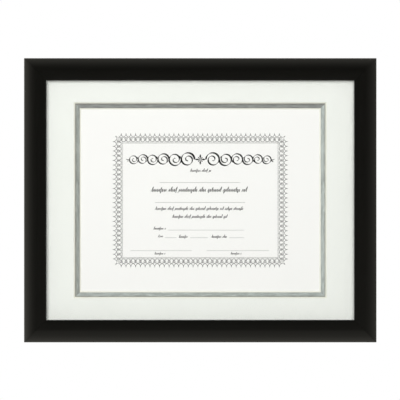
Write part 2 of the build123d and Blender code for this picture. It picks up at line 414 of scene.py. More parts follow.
def bare_board(coordinates, settings):
    """Pressed wood fibre: a tan ground with short pale and dark fibres."""
    fibres = noise(coordinates["UV"], scale=900, detail=6, roughness=0.65)
    clouds = noise(coordinates["UV"], scale=70, detail=2)
    return {
        "Base Color": shades(fibres * 0.75 + clouds * 0.25, settings.bare_colour, 0.72, 1.25),
        "Roughness": spread(fibres, 0.75, 0.95),
        "Normal": bump(fibres, 0.08 * mm, 0.6),
    }


def clear_pane(tree):
    """Clear float glass: it lets light through and mirrors a little, more at a slant."""
    place = result(tree, "ShaderNodeTexCoord", output="Object")
    ripple = noise(place, scale=9, detail=1)
    haze = noise(place, scale=45)
    clear = result(tree, "ShaderNodeBsdfTransparent", {"Color": (0.992, 0.996, 0.992, 1)})
    mirror = result(tree, "ShaderNodeBsdfGlossy",
                    {"Roughness": spread(haze, 0.0, 0.03), "Normal": bump(ripple, 0.02 * mm, 0.2)})
    # Only the face that light enters by mirrors, so no view sees the far face as a mirror.
    entering = 1.0 - result(tree, "ShaderNodeNewGeometry", output="Backfacing")
    share = result(tree, "ShaderNodeFresnel", {"IOR": 1.5}) * entering
    return result(tree, "ShaderNodeMixShader", {0: share, 1: clear, 2: mirror})


# A mat's face turns to the front by more than this cosine, and its bevels by less.
face_cosine = 0.9


def is_mat_face(coordinates):
    """1 on a mat's face, and 0 on its bevels."""
    return separate(coordinates["Normal"])[1] < -face_cosine


def white_board(coordinates, settings):
    """Outer mat: a faintly pebbled white face over a cream core."""
    pebbles = noise(coordinates["Object"], scale=1400, roughness=0.6)
    clouds = noise(coordinates["Object"], scale=14, detail=2)
    face = shades(clouds * 0.6, settings.white, 1, 0.97)
    cut = shades(pebbles, settings.core, 0.97, 1.02)
    return {
        "Base Color": blend(is_mat_face(coordinates), cut, face),
        "Roughness": spread(pebbles, 0.72, 0.9),
        "Specular IOR Level": 0.3,
        "Normal": bump(pebbles, 0.05 * mm, 0.35),
    }


def silver_board(coordinates, settings):
    """Inner mat: brushed silver foil over a cream core."""
    x, _, z = separate(vector_math("SUBTRACT", coordinates["Object"], tuple(middle)))
    past_side = abs(x) - (sheet_high.x - middle.x - settings.window_inset)
    past_end = abs(z) - (sheet_high.z - middle.z - settings.window_inset)
    upright = past_side > past_end
    out = math("MAXIMUM", past_side, past_end)

    # The foil is rolled, so its streaks run along each strip. Painted shade darkens it towards both
    # edges, most at the outer one, where it stands for the shadow under the white mat's bevel, so
    # its lightest line lies a little nearer the window.
    strip = combine(choose(upright, x, z), out, upright)
    brushed = noise(strip, (150, 1700, 1), detail=5, roughness=0.6)
    tone = brushed * 0.55 + noise(strip, (60, 420, 1)) * 0.45
    off_centre = abs(math("MULTIPLY_ADD", out / settings.silver_reveal, 2.0, -0.85))
    ground = blend(math("POWER", off_centre, 2.5), opaque(settings.silver),
                   opaque(settings.silver_edge_shade))
    # Painted reflection: each strip takes its own factor, standing for the light that it mirrors.
    strip_reflection = blend(upright, chosen_by_sign(z, settings.lower_painted_reflection, settings.upper_painted_reflection),
                 chosen_by_sign(x, settings.left_painted_reflection, settings.right_painted_reflection))
    face = scaled(vector_math("MULTIPLY", ground, strip_reflection), spread(tone, -0.1, 2.1))
    is_face = is_mat_face(coordinates)
    return {
        "Base Color": blend(is_face, opaque(settings.core), face),
        "Metallic": is_face * 0.35,
        "Roughness": spread(tone, 0.42, 0.6),
        "Normal": bump(brushed, 0.03 * mm, 0.5),
    }


def paper(coordinates, colour, fibre_depth, tooth):
    """Paper or card with a fine tooth and faint fibres."""
    fibres = noise(coordinates["Object"], (1, 1, 0.35), scale=tooth, detail=5, roughness=0.6)
    clouds = noise(coordinates["Object"], scale=25, detail=2)
    return {
        "Base Color": shades(fibres * 0.5 + clouds * 0.5, colour, 0.985, 1.01),
        "Roughness": spread(fibres, 0.68, 0.85),
        "Specular IOR Level": 0.35,
        "Normal": bump(fibres, fibre_depth, 0.4),
    }


def printing_ink(coordinates, settings):
    """Black ink with the slight unevenness of a press."""
    mottled = noise(coordinates["Object"], scale=2500)
    return {
        "Base Color": shades(mottled, settings.ink, 0.7, 1.5),
        "Roughness": spread(mottled, 0.45, 0.65),
        "Specular IOR Level": 0.3,
    }


def hardboard(coordinates, settings):
    """Brown hardboard: matted fibres in two browns, with a few dark specks."""
    place = coordinates["Object"]
    fibres = noise(place, (1, 1, 1.6), scale=420, detail=7, roughness=0.68)
    clouds = noise(place, scale=22)
    specks = noise(place, scale=1500, detail=1)
    tone = spread(fibres * 0.7 + clouds * 0.3, -0.4, 1.4)
    ground = shades(tone, settings.hardboard, 0.6, 1.4)
    return {
        "Base Color": blend((specks > 0.72) * 0.5, ground, opaque(settings.hardboard, 0.35)),
        "Roughness": spread(fibres, 0.5, 0.72),
        "Normal": bump(fibres, 0.1 * mm, 0.5),
    }


def zinc_plate(coordinates, settings):
    """Zinc-plated steel: bright metal with soft patches and fine rolling marks."""
    patches = noise(coordinates["Object"], scale=260)
    marks = noise(coordinates["Object"], (1, 1, 9), scale=700)
    tone = patches * 0.6 + marks * 0.4
    return {
        "Base Color": shades(spread(tone, -0.3, 1.3), settings.steel, 0.8, 1.15),
        "Metallic": 1.0,
        "Roughness": spread(tone, 0.16, 0.46),
        "Normal": bump(marks, 0.02 * mm, 0.5),
    }


def soft_rubber(coordinates, settings):
    """Matt rubber with a fine moulded grain and a little dust."""
    grain = noise(coordinates["Object"], scale=1800)
    dust = noise(coordinates["Object"], scale=350, detail=4)
    return {
        "Base Color": shades(dust, settings.rubber, 0.8, 1.5),
        "Roughness": spread(grain, 0.55, 0.8),
        "Normal": bump(grain, 0.04 * mm, 0.5),
    }


def finish(names, material):
    """Give CAD nodes a material."""
    for name in names:
        for slot in nodes[name].material_slots:
            slot.material = material


# Geometry Nodes


def new_tree(name, sockets):
    """A Geometry Nodes tree with named inputs, given as (name, type, default)."""
    tree = bpy.data.node_groups.new(name, "GeometryNodeTree")
    tree.is_modifier = True
    face = tree.interface
    face.new_socket("Geometry", in_out="INPUT", socket_type="NodeSocketGeometry")
    for label, kind, default in sockets:
        socket = face.new_socket(label, in_out="INPUT", socket_type="NodeSocket" + kind)
        if default is not None:
            socket.default_value = default
    face.new_socket("Geometry", in_out="OUTPUT", socket_type="NodeSocketGeometry")
    return tree, results(tree, "NodeGroupInput")


def capture(geometry, kind, field):
    """Store a field on a geometry's points. Gives the geometry and the stored field."""
    made = add(geometry.tree, "GeometryNodeCaptureAttribute", domain="POINT")
    made.capture_items.new(kind, "Value")
    link(geometry, made.inputs[0])
    link(field, made.inputs[1])
    return Value(made.outputs[0]), Value(made.outputs[1])


def edge_curves(mesh):
    """Curves along the edges of a mesh."""
    return result(mesh.tree, "GeometryNodeMeshToCurve", {"Mesh": mesh})


def sweep(path, section):
    """A section swept along a path and closed at its ends."""
    inputs = {"Curve": path, "Profile Curve": section, "Fill Caps": True}
    return result(path.tree, "GeometryNodeCurveToMesh", inputs)


def moved_to(geometry, place):
    """A geometry with its points at another place."""
    inputs = {"Geometry": geometry, "Position": place}
    return result(geometry.tree, "GeometryNodeSetPosition", inputs)


def close_tree(geometry, materials):
    """End a tree: make its instances real and set its materials, as (selection, material)."""
    tree = geometry.tree
    geometry = result(tree, "GeometryNodeRealizeInstances", {"Geometry": geometry})
    for selection, material in materials:
        inputs = {"Geometry": geometry, "Selection": selection, "Material": material}
        geometry = result(tree, "GeometryNodeSetMaterial", inputs)
    add(tree, "NodeGroupOutput", {0: geometry})
    return tree


# Inputs of every tree that draws with the pen.
pen_sockets = (
    ("Thickness", "Float", 0.03 * mm),
    ("Nib Angle", "Float", 0.0),
    ("Hairline Share", "Float", 1.0),
)


def ink_lines_tree():
    """Turns centre lines into flat inked lines of one thickness.

    A line is as wide as its points say, times a share for the slope at which the nib meets it.
    """
    tree, given = new_tree("Ink Lines", pen_sockets)
    place = result(tree, "GeometryNodeInputPosition")
    width = result(tree, "GeometryNodeInputNamedAttribute", {"Name": "width"})
    path, path_width = capture(given["Geometry"], "FLOAT", width)
    path, path_tangent = capture(path, "VECTOR", result(tree, "GeometryNodeInputTangent"))
    path, path_place = capture(path, "VECTOR", place)
    square = result(tree, "GeometryNodeCurvePrimitiveQuadrilateral", {"Width": 1.0, "Height": 1.0})
    section, section_place = capture(square, "VECTOR", place)

    nib = combine(math("COSINE", given["Nib Angle"]), math("SINE", given["Nib Angle"]))
    turned = separate(vector_math("CROSS_PRODUCT", path_tangent, nib))[2]
    hairline = given["Hairline Share"]
    share = math("MULTIPLY_ADD", abs(turned), 1.0 - hairline, hairline)
    side = vector_math("CROSS_PRODUCT", path_tangent, (0, 0, 1))
    x, y, _ = separate(section_place)
    moved = vector_math("ADD", path_place, scaled(side, x * (path_width * share)))
    lift = combine(0.0, 0.0, (y + 0.5) * given["Thickness"])
    lines = moved_to(sweep(path, section), vector_math("ADD", moved, lift))
    add(tree, "NodeGroupOutput", {0: lines})
    return tree


def ink_lines(curves, given, ink_tree):
    """Inked lines along curves, inside another tree."""
    inputs = {label: given[label] for label, *_ in pen_sockets}
    return result(curves.tree, "GeometryNodeGroup", {"Geometry": curves, **inputs},
                  node_tree=ink_tree)


def pen_work_tree(ink_tree):
    """Pen strokes along the edges of the mesh that it is given."""
    _, given = new_tree("Pen Work", (*pen_sockets, ("Ink", "Material", None)))
    strokes = ink_lines(edge_curves(given["Geometry"]), given, ink_tree)
    return close_tree(strokes, [(True, given["Ink"])])


def border_tree(ink_tree, rings):
    """A printed border: pieces repeated along four sides, corners, and lines all round.

    The mesh that it is given is one spear, with its tip at the origin and pointing along +Y.
    Scallops stand between the spears, and ticks fill the band behind them.
    """
    tree, given = new_tree("Printed Border", (
        ("Width", "Float", 0.2),
        ("Height", "Float", 0.15),
        ("Columns", "Int", 34),
        ("Rows", "Int", 26),
        ("Pitch", "Float", 0.005),
        ("Row Pitch", "Float", 0.005),
        ("Band Depth", "Float", 0.01),
        ("Tick Pitch", "Float", 0.0006),
        ("Scallop", "Object", None),
        ("Tick", "Object", None),
        ("Corner", "Object", None),
        *pen_sockets,
        ("Ink", "Material", None),
    ))
    join = add(tree, "GeometryNodeJoinGeometry")

    def inked(mesh):
        return ink_lines(edge_curves(mesh), given, ink_tree)

    def inked_object(label):
        return inked(result(tree, "GeometryNodeObjectInfo", {"Object": given[label]}, "Geometry"))

    def lay(piece, angle, place=(0, 0, 0)):
        """Turn a piece, move it and join it to the border."""
        inputs = {"Geometry": piece, "Translation": place, "Rotation": (0, 0, angle)}
        link(result(tree, "GeometryNodeTransform", inputs), join.inputs[0])

    def repeat(piece, count, pitch, rise, angle, scale=(1, 1, 1)):
        """A centred row of one piece along a side, turned to that side."""
        start = combine((1.0 - count) * 0.5 * pitch, rise)
        inputs = {"Count": count, "Start Location": start, "Offset": combine(pitch, 0.0)}
        line = result(tree, "GeometryNodeMeshLine", inputs)
        inputs = {"Points": line, "Instance": piece, "Scale": scale}
        lay(result(tree, "GeometryNodeInstanceOnPoints", inputs), angle)

    half_width = given["Width"] * 0.5
    half_height = given["Height"] * 0.5
    spear = inked(given["Geometry"])
    scallop = inked_object("Scallop")
    tick = inked_object("Tick")
    stretch = combine(given["Row Pitch"] / given["Pitch"], 1.0, 1.0)
    level = (given["Columns"], given["Pitch"], half_height, half_width, (1, 1, 1))
    upright = (given["Rows"], given["Row Pitch"], half_width, half_height, stretch)
    for quarter in range(4):
        angle = quarter * pi / 2
        count, pitch, rise, run, scale = upright if quarter % 2 else level
        repeat(spear, count, pitch, rise, angle, scale)
        repeat(scallop, count - 1.0, pitch, rise, angle, scale)
        band = (run - given["Band Depth"]) * 2.0
        ticks = math("FLOOR", band / given["Tick Pitch"])
        repeat(tick, ticks, given["Tick Pitch"], rise, angle)

    corner = inked_object("Corner")
    corner_x = half_width - given["Band Depth"]
    corner_y = half_height - given["Band Depth"]
    for right, top in ((1, 1), (-1, 1), (-1, -1), (1, -1)):
        lay(corner, atan2(top, right) - pi / 2, combine(corner_x * right, corner_y * top))

    for depth, width in rings:
        loop = result(tree, "GeometryNodeCurvePrimitiveQuadrilateral",
                      {"Width": given["Width"] - 2 * depth, "Height": given["Height"] - 2 * depth})
        stored = result(tree, "GeometryNodeStoreNamedAttribute",
                        {"Geometry": loop, "Name": "width", "Value": width})
        link(ink_lines(stored, given, ink_tree), join.inputs[0])

    return close_tree(Value(join.outputs[0]), [(True, given["Ink"])])


# Where the bare back ends, as a share of the mitre's groove.
bare_end = 0.75


def moulding_tree():
    """A length of moulding, mitred at both ends, swept from the outline that it is given.

    In the outline, x runs in from the outer side and y from the back to the front.
    """
    tree, given = new_tree("Moulding", (
        ("Half Length", "Float", 0.2),
        ("Rings", "Int", 25),
        ("Section Centre", "Vector", (0, 0, 0)),
        ("Mitre Ease", "Float", 0.0001),
        ("Ease Share", "Float", 0.01),
        ("Wrap Lap", "Float", 0.003),
        ("Finish", "Material", None),
        ("Bare Finish", "Material", None),
    ))
    place = result(tree, "GeometryNodeInputPosition")
    length = result(tree, "GeometryNodeSplineParameter", output="Length")
    outline, girth = capture(edge_curves(given["Geometry"]), "FLOAT", length)
    outline, section = capture(outline, "VECTOR", place)

    # The path runs from -1 to 1. The rings beside its ends are set back by the mitre's ease.
    line = result(tree, "GeometryNodeCurvePrimitiveLine", {"Start": (-1, 0, 0), "End": (1, 0, 0)})
    path = result(tree, "GeometryNodeResampleCurve", {"Curve": line, "Count": given["Rings"]})
    set_back = given["Mitre Ease"] / given["Half Length"]
    spans = given["Rings"] - 1.0
    grown = separate(place)[0] * ((1.0 - set_back) * (spans / (spans - 2.0)))
    kept = math("MAXIMUM", math("MINIMUM", grown, 1.0), -1.0)
    path, place_along = capture(moved_to(path, combine(kept, 0.0)), "FLOAT", separate(place)[0])

    at_end = abs(place_along) > 1.0 - set_back * 0.5
    inward = vector_math("SUBTRACT", given["Section Centre"], section)
    shift = scaled(inward, at_end * given["Ease Share"])
    x, y, _ = separate(vector_math("ADD", section, shift))
    along = place_along * (given["Half Length"] - x)
    rail = moved_to(sweep(path, outline), combine(along, x, y))
    unrolled = result(tree, "GeometryNodeStoreNamedAttribute",
                      {"Geometry": rail, "Name": "UVMap", "Value": combine(along, girth)},
                      data_type="FLOAT2", domain="CORNER")

    # The back is bare past the lap, except in the mitre's groove, where the black finish is painted
    # shade for the joint.
    out_of_groove = abs(place_along) < math("MULTIPLY_ADD", set_back, -bare_end, 1.0)
    bare = (y < 0.1 * mm) * (x > given["Wrap Lap"]) * out_of_groove
    return close_tree(unrolled, [(True, given["Finish"]), (bare, given["Bare Finish"])])


def put(name, data):
    """A new object in the scene."""
    made = bpy.data.objects.new(name, data)
    bpy.context.scene.collection.objects.link(made)
    return made


def grow(name, base, tree, inputs, placement):
    """Run a tree on a base mesh and keep the result as a plain mesh, placed in the frame."""
    piece = put(name, base)
    modifier = piece.modifiers.new(tree.name, "NODES")
    modifier.node_group = tree
    for label, value in inputs.items():
        modifier[tree.interface.items_tree[label].identifier] = value
    view = bpy.context.evaluated_depsgraph_get()
    made = bpy.data.meshes.new_from_object(piece.evaluated_get(view), depsgraph=view)
    piece.modifiers.clear()
    piece.data = made
    made.name = name
    bpy.data.meshes.remove(base)
    made.transform(placement)
    if len(made.polygons) == 0:
        raise RuntimeError(f"{name} came out empty")
    return piece


def line_mesh(name, strokes):
    """Edges along strokes, each a list of (x, y, width), closed if its last place is its first."""
    points = []
    widths = []
    edges = []
    for line in strokes:
        closed = line[0] == line[-1]
        shown = line[:-1] if closed else line
        first = len(points)
        points += [(x, y, 0) for x, y, width in shown]
        widths += [width for x, y, width in shown]
        edges += [(first + i, first + i + 1) for i in range(len(shown) - 1)]
        if closed:
            edges.append((first + len(shown) - 1, first))
    mesh = bpy.data.meshes.new(name)
    mesh.from_pydata(points, edges, [])
    mesh.attributes.new("width", "FLOAT", "POINT").data.foreach_set("value", widths)
    return mesh


# Moulding


def arc(centre, radius, start, end, steps):
    """Points along an arc. Angles are in degrees."""
    turns = [radians(start + (end - start) * i / steps) for i in range(steps + 1)]
    return [(centre[0] + radius * cos(turn), centre[1] + radius * sin(turn)) for turn in turns]


def moulding_outline(settings):
    """Outline of the moulding's section, from the rabbet round the back, side and crest."""
    depth = rail_depth - settings.back_recess
    land = glass_low.x - rail_low.x - settings.insert_clearance
    rabbet = back_y - settings.back_recess - glass_low.y
    run, drop = settings.shoulder_width, settings.shoulder_drop
    side, sight, back = settings.side_ease, settings.sight_ease, settings.back_ease

    # The shoulder is one arc, level at the crest. Its side ease is an arc that touches it inside.
    radius = (run ** 2 + drop ** 2) / (2 * drop)
    shoulder = (run, depth - radius)
    ease = (side, shoulder[1] + sqrt((radius - side) ** 2 - (run - side) ** 2))
    meeting = atan2(ease[1] - shoulder[1], ease[0] - shoulder[0]) * 180 / pi
    return [
        (rail_width, rabbet),
        (land, rabbet),
        (land, 0),
        (settings.wrap_lap, 0),
        *arc((back, back), back, 270, 180, steps=4),
        *arc(ease, side, 180, meeting, steps=5),
        *arc(shoulder, radius, meeting, 90, steps=26)[1:],
        *arc((rail_width - sight, depth - sight), sight, 90, 0, steps=6),
    ]


def outline_mesh(name, points):
    """A closed loop of edges."""
    mesh = bpy.data.meshes.new(name)
    edges = [(i, (i + 1) % len(points)) for i in range(len(points))]
    mesh.from_pydata([(x, y, 0) for x, y in points], edges, [])
    return mesh


# Edges of the moulding sharper than this are shaded sharp.
sharp_angle = radians(28)


class FRAME_OT_moulding(bpy.types.Operator):
    """Sweep the four mitred rails of the moulding"""

    bl_idname = "certificate_frame.moulding"
    bl_label = "Moulding"
    bl_options = {"REGISTER", "UNDO"}

    def execute(self, context):
        settings = context.scene.certificate_frame.moulding
        tree = moulding_tree()
        outline = moulding_outline(settings)
        inputs = {
            "Rings": settings.rings,
            "Section Centre": Vector((rail_width / 2, rail_depth / 2, 0)),
            "Mitre Ease": settings.mitre_ease,
            "Ease Share": 2 * settings.mitre_ease / rail_width,
            "Wrap Lap": settings.wrap_lap,
            "Finish": surface("satin_black", black_finish, settings),
            "Bare Finish": surface("bare_fibreboard", bare_board, settings),
        }
        half_width = cad_high.x - middle.x
        half_height = cad_high.z - middle.z
        sides = {
            "top": (up, half_height, half_width),
            "bottom": (-up, half_height, half_width),
            "left": (-across, half_width, half_height),
            "right": (across, half_width, half_height),
        }
        for side, (outward, distance, half_length) in sides.items():
            inputs["Half Length"] = half_length
            # The section's x runs inwards from the outer side and its y to the front.
            run = (-outward).cross(to_front)
            origin = middle + outward * distance
            origin.y = back_y - settings.back_recess
            placement = Matrix((run, -outward, to_front)).transposed().to_4x4()
            placement.translation = origin
            base = outline_mesh("moulding_outline", outline)
            rail = grow(f"moulding_{side}", base, tree, inputs, placement)
            rail.data.shade_smooth()
            rail.data.set_sharp_from_angle(angle=sharp_angle)
            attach(rail, frame_body)
            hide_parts(f"rail_{side}")
        return {"FINISHED"}


# Glass, mats and sheet

# The tooth of paper and card: its depth and its fineness.
tape_tooth = (0.02 * mm, 900)
sheet_tooth = (0.015 * mm, 1600)
card_tooth = (0.06 * mm, 500)


class FRAME_OT_glass(bpy.types.Operator):
    """Finish the clear pane"""

    bl_idname = "certificate_frame.glass"
    bl_label = "Glass"
    bl_options = {"REGISTER", "UNDO"}

    def execute(self, context):
        finish(["glass"], new_material("clear_glass", clear_pane))
        return {"FINISHED"}


class FRAME_OT_mats(bpy.types.Operator):
    """Finish the white mat, the silver mat and the strips between them"""

    bl_idname = "certificate_frame.mats"
    bl_label = "Mats"
    bl_options = {"REGISTER", "UNDO"}

    def execute(self, context):
        settings = context.scene.certificate_frame.mats
        finish(["top_mat"], surface("white_mat", white_board, settings))
        finish(["inner_mat"], surface("silver_mat", silver_board, settings))
        tape = surface("bond_tape", paper, settings.tape, *tape_tooth)
        finish(["mat_bond_tape"], tape)
        return {"FINISHED"}


class FRAME_OT_sheet(bpy.types.Operator):
    """Finish the certificate sheet and the paper hinges that hang it"""

    bl_idname = "certificate_frame.sheet"
    bl_label = "Sheet"
    bl_options = {"REGISTER", "UNDO"}

    def execute(self, context):
        settings = context.scene.certificate_frame
        stock = surface("certificate_paper", paper, settings.sheet.paper, *sheet_tooth)
        finish(["certificate"], stock)
        hinges = surface("hinge_paper", paper, settings.mats.tape, *tape_tooth)
        finish(["certificate_tape"], hinges)
        return {"FINISHED"}


def sheet_placement():
    """Places print on the sheet: x across, y up, and its height towards the glass."""
    placement = Matrix((across, up, to_front)).transposed().to_4x4()
    placement.translation = Vector((middle.x, sheet_low.y, middle.z))
    return placement


def stroke(points, *widths):
    """A stroke through points in millimetres, with a width for each point or one for all."""
    if len(widths) == 1:
        widths = widths * len(points)
    return [(x * mm, y * mm, width * mm) for (x, y), width in zip(points, widths)]


# The border, in millimetres from a spear's tip: a spear, an open lozenge, a dart beside an open
# scallop, and a band of fine slanted ticks.
band_depths = (10.0, 11.45)
band_widths = (0.16, 0.28)
tick_pitch = 0.6
tick_lean = 0.3
tick_width = 0.085


def spear_strokes(pitch):
    """Strokes of one spear, the lozenge under it and its dart."""
    half = pitch / mm / 2
    strokes = [
        stroke([(0, 0.1), (0, -1.2), (0, -2.1), (0, -2.6)], 0.1, 0.45, 1.05, 0.4),
        stroke([(-half, -4.85), (-1.6, -3.95), (0, -2.45), (1.6, -3.95), (half, -4.85)], 0.48),
        stroke([(-half, -4.85), (-1.3, -5.0), (0, -5.5), (1.3, -5.0), (half, -4.85)], 0.3),
        stroke([(0, -5.5), (0, -6.3), (0, -7.2), (0, -8.6)], 0.3, 0.65, 0.9, 0.25),
    ]
    for hand in (-1, 1):
        edge = [(0, -5.4), (1.75, -5.85), (1.2, -7.1), (0.4, -9.0)]
        strokes.append(stroke([(x * hand, y) for x, y in edge], 0.4))
    return strokes


def scallop_strokes():
    """The open curve between two darts."""
    return [stroke(arc((0, -7.65), 2.15, 205, 335, steps=12), 0.38)]


def tick_strokes():
    """One slanted tick of the band."""
    top, bottom = band_depths
    return [stroke([(-tick_lean, -top), (tick_lean, -bottom)], tick_width)]


def corner_strokes():
    """A leaf that points out from the band's corner along +Y."""
    return [
        stroke([(0, 9.6), (0, 8.3), (0, 7.6)], 0.08, 1.0, 0.4),
        stroke([(0, 7.7), (1.2, 6.2), (0, 3.4), (-1.2, 6.2), (0, 7.7)], 0.4),
    ]


class FRAME_OT_border(bpy.types.Operator):
    """Print the lattice border on the sheet"""

    bl_idname = "certificate_frame.border"
    bl_label = "Border"
    bl_options = {"REGISTER", "UNDO"}

    def execute(self, context):
        settings = context.scene.certificate_frame.sheet
        rings = [(depth * mm, width * mm) for depth, width in zip(band_depths, band_widths)]
        tree = border_tree(ink_lines_tree(), rings)
        parts = {}
        for label, strokes in (("Scallop", scallop_strokes()), ("Tick", tick_strokes()),
                               ("Corner", corner_strokes())):
            parts[label] = put(label, line_mesh(label, strokes))
        inputs = {
            "Width": settings.border_width,
            "Height": settings.border_height,
            "Columns": settings.columns,
            "Rows": settings.rows,
            "Pitch": settings.pitch,
            "Row Pitch": settings.row_pitch,
            "Band Depth": band_depths[0] * mm,
            "Tick Pitch": tick_pitch * mm,
            **parts,
            "Thickness": settings.ink_thickness,
            "Nib Angle": 0.0,
            "Hairline Share": 1.0,
            "Ink": surface("printing_ink", printing_ink, settings),
        }
        base = line_mesh("spear", spear_strokes(settings.pitch))
        border = grow("certificate_border", base, tree, inputs, sheet_placement())
        for part in parts.values():
            bpy.data.objects.remove(part)
        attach(border, frame_body)
        return {"FINISHED"}


# Pen work. The place of each line is (middle, height, length), in millimetres from the
# sheet's middle.
ornament_height = 45.7
rules = (
    (-0.3, 19.8, 90.2),
    (-0.3, -2.5, 100.8),
    (6.6, -33.4, 84.9),
    (-33.0, -41.9, 12.7),
    (-1.3, -41.9, 20.0),
    (40.8, -41.9, 16.4),
    (-43.9, -56.4, 68.8),
    (42.0, -56.4, 69.8),
)
# The last value of a waved line is the rise of its waves from their middle.
waved_lines = (
    (0.8, 32.8, 24.2, 0.95),
    (-1.0, 11.0, 107.7, 1.4),
    (-0.7, -9.8, 99.4, 1.0),
    (-0.1, -18.7, 62.5, 1.0),
    (-45.3, -31.9, 13.8, 0.9),
    (-44.4, -40.6, 5.6, 0.8),
    (-18.9, -41.1, 10.3, 0.9),
    (21.3, -41.1, 17.6, 0.9),
    (-45.1, -59.9, 12.2, 0.8),
    (40.1, -59.9, 12.2, 0.8),
)
# Lengths of the runs of waves in a waved line, and the gap after each, in waves.
wave_runs = (9, 5, 11, 4, 8, 10, 3, 6)
wave_gap = 1.1
# A wave's length and its pen's width, in rises, its slant, and the steps that it is drawn in.
wave_length = 1.35
wave_nib = 0.62
wave_slant = 0.4
wave_steps = 10
# The pen's thinnest stroke on a wave, as a share of its width.
wave_hairline = 0.3
# How far each crest reaches up and each trough down, in rises. The pen swings wide now and then.
crests = (2.9, 1, 1, 1.1, 1, 2.5, 1, 0.9, 1, 1, 3.1, 1, 1.1)
troughs = (1, 1, 1.1, 1, 1, 1, 2.4, 1, 1, 1, 0.9, 1, 1, 1, 2.0, 1)


def waves(middle_x, height, length, rise):
    """Runs of slanted pen waves along a line, with gaps between them."""
    pitch = rise * wave_length
    swing = 0
    strokes = []
    x = middle_x - length / 2
    end = middle_x + length / 2
    run = 0
    while end - x > pitch:
        count = min(wave_runs[run % len(wave_runs)], int((end - x) / pitch))
        points = []
        for i in range(count * wave_steps + 1):
            share = i / wave_steps
            y = -cos(tau * share) * rise
            if y > 0:
                y *= crests[(swing + int(share)) % len(crests)]
            else:
                y *= troughs[(swing + int(share + 0.5)) % len(troughs)]
            points.append((x + pitch * share + wave_slant * y, height + y))
        strokes.append(stroke(points, rise * wave_nib))
        x += pitch * (count + wave_gap)
        swing += count
        run += 1
    return strokes


# The running scroll: its tendrils on each side, where the first starts and its radius, in
# millimetres, and how much smaller each next one is.
scroll_count = 6
scroll_start = 6.4
scroll_radius = 7.4
scroll_shrink = 0.92
# Turns of a tendril, the steps that it is drawn in, and how far it closes in and grows thin.
tendril_turns = 1.7
tendril_steps = 44
tendril_closing = 0.8
tendril_thinning = 0.45
# A bud's reach and its widths at its tips and middle, in millimetres.
bud_reach = 0.7
bud_widths = (0.5, 1.9)
# A leaf's size and its width at the middle, in radii of its tendril, its widths at its foot and
# tip, in millimetres, and its curve, in sizes.
leaf_size = 0.62
leaf_width = 0.3
leaf_ends = (0.3, 0.1)
leaf_curve = ((0, 0), (0.35, 0.6), (0.95, 1))
# The curve at each end of the scroll, and its widths, in millimetres.
end_curve = ((0, 0), (2, -0.6), (4.4, 0.6))
end_widths = (0.5, 1.4, 0.1)
# The rosette, in millimetres: the radius and the line of its eye, where its petals start, the
# reach and width of a long and a short one, and their widths at foot and tip.
eye_radius = 0.8
eye_line = 0.5
petal_count = 8
petal_start = 1.1
petal_sizes = ((5.9, 2.0), (3.7, 1.25))
petal_ends = (0.3, 0.08)
# A petal is widest at the first of these shares of its length, and at the second it is this much
# narrower.
petal_bulge = (0.45, 0.75)
petal_narrowing = 0.7


def tendril(x, y, radius, hand, side):
    """Rises from (x, y) over a half turn and curls in to its own middle."""
    points = []
    widths = []
    for i in range(tendril_steps + 1):
        share = i / tendril_steps
        turns = share * tendril_turns
        curl = max(0, turns - 0.5) / (tendril_turns - 0.5)
        reach = radius * (1 - tendril_closing * curl)
        turn = pi - turns * tau
        points.append((x + side * (radius + reach * cos(turn)), y + hand * reach * sin(turn)))
        widths.append(1 - tendril_thinning * share)
    return points, widths


def sprig(x, side, hand, size, curve):
    """Points of a small curve that starts on the scroll's middle line."""
    return [(x + side * size * run, ornament_height + hand * size * rise) for run, rise in curve]


def running_scroll(nib):
    """A running scroll out to both sides from a rosette, with leaves and buds."""
    strokes = []
    for side in (-1, 1):
        x = side * scroll_start
        radius = scroll_radius
        hand = 1
        for _ in range(scroll_count):
            points, widths = tendril(x, ornament_height, radius, hand, side)
            strokes.append([(px * mm, py * mm, width * nib * radius / scroll_radius)
                            for (px, py), width in zip(points, widths)])
            eye_x, eye_y = points[-1]
            bud = [(eye_x - bud_reach, eye_y), (eye_x, eye_y), (eye_x + bud_reach, eye_y)]
            tip, full = bud_widths
            strokes.append(stroke(bud, tip, full * radius / scroll_radius, tip))
            x += side * 2 * radius
            leaf = sprig(x, side, hand, radius * leaf_size, leaf_curve)
            foot, tip = leaf_ends
            strokes.append(stroke(leaf, foot, leaf_width * radius, tip))
            radius *= scroll_shrink
            hand = -hand
        strokes.append(stroke(sprig(x, side, 1, 1, end_curve), *end_widths))
    return strokes


def rosette():
    """A ring of long and short petals round an open eye."""
    eye = stroke(arc((0, ornament_height), eye_radius, 0, 360, steps=16), eye_line)
    eye[-1] = eye[0]
    strokes = [eye]
    for i in range(petal_count):
        heading = i * tau / petal_count
        reach, width = petal_sizes[i % 2]
        bulge = [petal_start + (reach - petal_start) * share for share in petal_bulge]
        line = [(cos(heading) * r, ornament_height + sin(heading) * r)
                for r in (petal_start, *bulge, reach)]
        foot, tip = petal_ends
        strokes.append(stroke(line, foot, width, width * petal_narrowing, tip))
    return strokes


